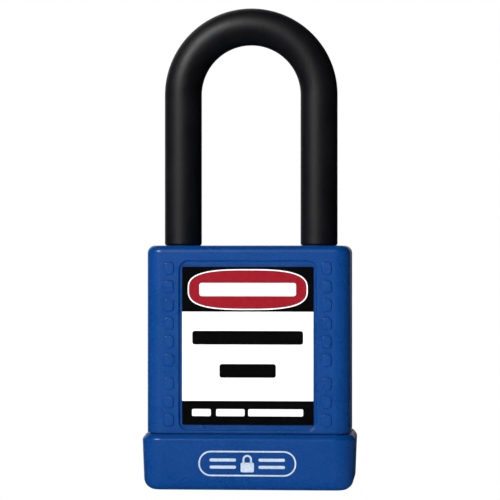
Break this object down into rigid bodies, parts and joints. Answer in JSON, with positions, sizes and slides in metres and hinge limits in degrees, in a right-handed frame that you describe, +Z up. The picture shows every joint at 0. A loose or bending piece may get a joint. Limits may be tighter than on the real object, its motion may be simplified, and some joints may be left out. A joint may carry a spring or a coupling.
{
  "type": "safety padlock",
  "caption": "Keyed safety padlock: long sheathed shackle, plastic-covered metal body with a label in a recess, and a wider base cap round the keyway.",
  "frame": {"origin": "under the middle of the base cap, on the surface that the padlock stands on", "axes": "+Z up along the shackle's legs; the labelled front faces -Y; +X towards the shackle's toe leg"},
  "size_m": [0.042, 0.022, 0.0955],
  "materials": {
    "blue_plastic": "moulded blue polymer with a fine speckled texture",
    "black_sheath": "fine-grained black polymer sleeve",
    "printed_label": "printed laminate label",
    "aluminium": "machined",
    "brass": "turned brass",
    "shackle_steel": "plated hardened steel",
    "steel": "ground steel",
    "spring_steel": "drawn spring wire"
  },
  "bodies": {
    "housing": {"lock_body": "aluminium", "body_jacket": "blue_plastic", "base_cap": "blue_plastic", "safety_label": "printed_label", "rear_label": "printed_label", "chamber_strip": "aluminium", "cross_bore_plug": "aluminium", "heel_retaining_pin": "steel", "plug_retaining_pin": "steel", "heel_spring": "spring_steel", "pin_spring_1": "spring_steel", "pin_spring_2": "spring_steel", "pin_spring_3": "spring_steel", "pin_spring_4": "spring_steel", "pin_spring_5": "spring_steel", "pin_spring_6": "spring_steel"},
    "plug": {"key_plug": "brass", "bolt_driver": "steel"},
    "right_bolt": {"locking_bolt_right": "steel"},
    "left_bolt": {"locking_bolt_left": "steel"},
    "shackle": {"shackle_core": "shackle_steel", "shackle_sheath": "black_sheath"},
    "driver_pin_1": {"driver_pin_1": "steel"},
    "driver_pin_2": {"driver_pin_2": "steel"},
    "driver_pin_3": {"driver_pin_3": "steel"},
    "driver_pin_4": {"driver_pin_4": "steel"},
    "driver_pin_5": {"driver_pin_5": "steel"},
    "driver_pin_6": {"driver_pin_6": "steel"},
    "key_pin_1": {"key_pin_1": "brass"},
    "key_pin_2": {"key_pin_2": "brass"},
    "key_pin_3": {"key_pin_3": "brass"},
    "key_pin_4": {"key_pin_4": "brass"},
    "key_pin_5": {"key_pin_5": "brass"},
    "key_pin_6": {"key_pin_6": "brass"}
  },
  "joints": [
    {"name": "plug_turn", "type": "hinge", "parent": "housing", "child": "plug", "pos_m": [0, 0, 0.0017], "axis": [0, 0, 1], "range_deg": [0, 90]},
    {"name": "right_bolt_slide", "type": "slide", "parent": "housing", "child": "right_bolt", "axis": [-1, 0, 0], "range_m": [0, 0.004]},
    {"name": "left_bolt_slide", "type": "slide", "parent": "housing", "child": "left_bolt", "axis": [1, 0, 0], "range_m": [0, 0.004]},
    {"name": "shackle_lift", "type": "slide", "parent": "housing", "child": "shackle", "axis": [0, 0, 1], "range_m": [0, 0.0118], "deforming": ["heel_spring"]},
    {"name": "driver_pin_1_slide", "type": "slide", "parent": "housing", "child": "driver_pin_1", "axis": [1, 0, 0], "range_m": [0, 0.0012], "stiffness_N_per_m": 50, "deforming": ["pin_spring_1"]},
    {"name": "driver_pin_2_slide", "type": "slide", "parent": "housing", "child": "driver_pin_2", "axis": [1, 0, 0], "range_m": [0, 0.0012], "stiffness_N_per_m": 50, "deforming": ["pin_spring_2"]},
    {"name": "driver_pin_3_slide", "type": "slide", "parent": "housing", "child": "driver_pin_3", "axis": [1, 0, 0], "range_m": [0, 0.0012], "stiffness_N_per_m": 50, "deforming": ["pin_spring_3"]},
    {"name": "driver_pin_4_slide", "type": "slide", "parent": "housing", "child": "driver_pin_4", "axis": [1, 0, 0], "range_m": [0, 0.0012], "stiffness_N_per_m": 50, "deforming": ["pin_spring_4"]},
    {"name": "driver_pin_5_slide", "type": "slide", "parent": "housing", "child": "driver_pin_5", "axis": [1, 0, 0], "range_m": [0, 0.0012], "stiffness_N_per_m": 50, "deforming": ["pin_spring_5"]},
    {"name": "driver_pin_6_slide", "type": "slide", "parent": "housing", "child": "driver_pin_6", "axis": [1, 0, 0], "range_m": [0, 0.0012], "stiffness_N_per_m": 50, "deforming": ["pin_spring_6"]},
    {"name": "key_pin_1_slide", "type": "slide", "parent": "plug", "child": "key_pin_1", "axis": [-1, 0, 0], "range_m": [0, 0.001]},
    {"name": "key_pin_2_slide", "type": "slide", "parent": "plug", "child": "key_pin_2", "axis": [-1, 0, 0], "range_m": [0, 0.001]},
    {"name": "key_pin_3_slide", "type": "slide", "parent": "plug", "child": "key_pin_3", "axis": [-1, 0, 0], "range_m": [0, 0.001]},
    {"name": "key_pin_4_slide", "type": "slide", "parent": "plug", "child": "key_pin_4", "axis": [-1, 0, 0], "range_m": [0, 0.001]},
    {"name": "key_pin_5_slide", "type": "slide", "parent": "plug", "child": "key_pin_5", "axis": [-1, 0, 0], "range_m": [0, 0.001]},
    {"name": "key_pin_6_slide", "type": "slide", "parent": "plug", "child": "key_pin_6", "axis": [-1, 0, 0], "range_m": [0, 0.001]}
  ],
  "couplings": [
    {"joint": "plug_turn", "follows": "shackle_lift", "rad_per_m": 133.11},
    {"joint": "right_bolt_slide", "follows": "shackle_lift", "ratio": 0.33895},
    {"joint": "left_bolt_slide", "follows": "shackle_lift", "ratio": 0.33895},
    {"joint": "driver_pin_2_slide", "follows": "driver_pin_1_slide", "ratio": 1},
    {"joint": "driver_pin_3_slide", "follows": "driver_pin_1_slide", "ratio": 1},
    {"joint": "driver_pin_4_slide", "follows": "driver_pin_1_slide", "ratio": 1},
    {"joint": "driver_pin_5_slide", "follows": "driver_pin_1_slide", "ratio": 1},
    {"joint": "driver_pin_6_slide", "follows": "driver_pin_1_slide", "ratio": 1},
    {"joint": "key_pin_2_slide", "follows": "key_pin_1_slide", "ratio": 1},
    {"joint": "key_pin_3_slide", "follows": "key_pin_1_slide", "ratio": 1},
    {"joint": "key_pin_4_slide", "follows": "key_pin_1_slide", "ratio": 1},
    {"joint": "key_pin_5_slide", "follows": "key_pin_1_slide", "ratio": 1},
    {"joint": "key_pin_6_slide", "follows": "key_pin_1_slide", "ratio": 1}
  ]
}
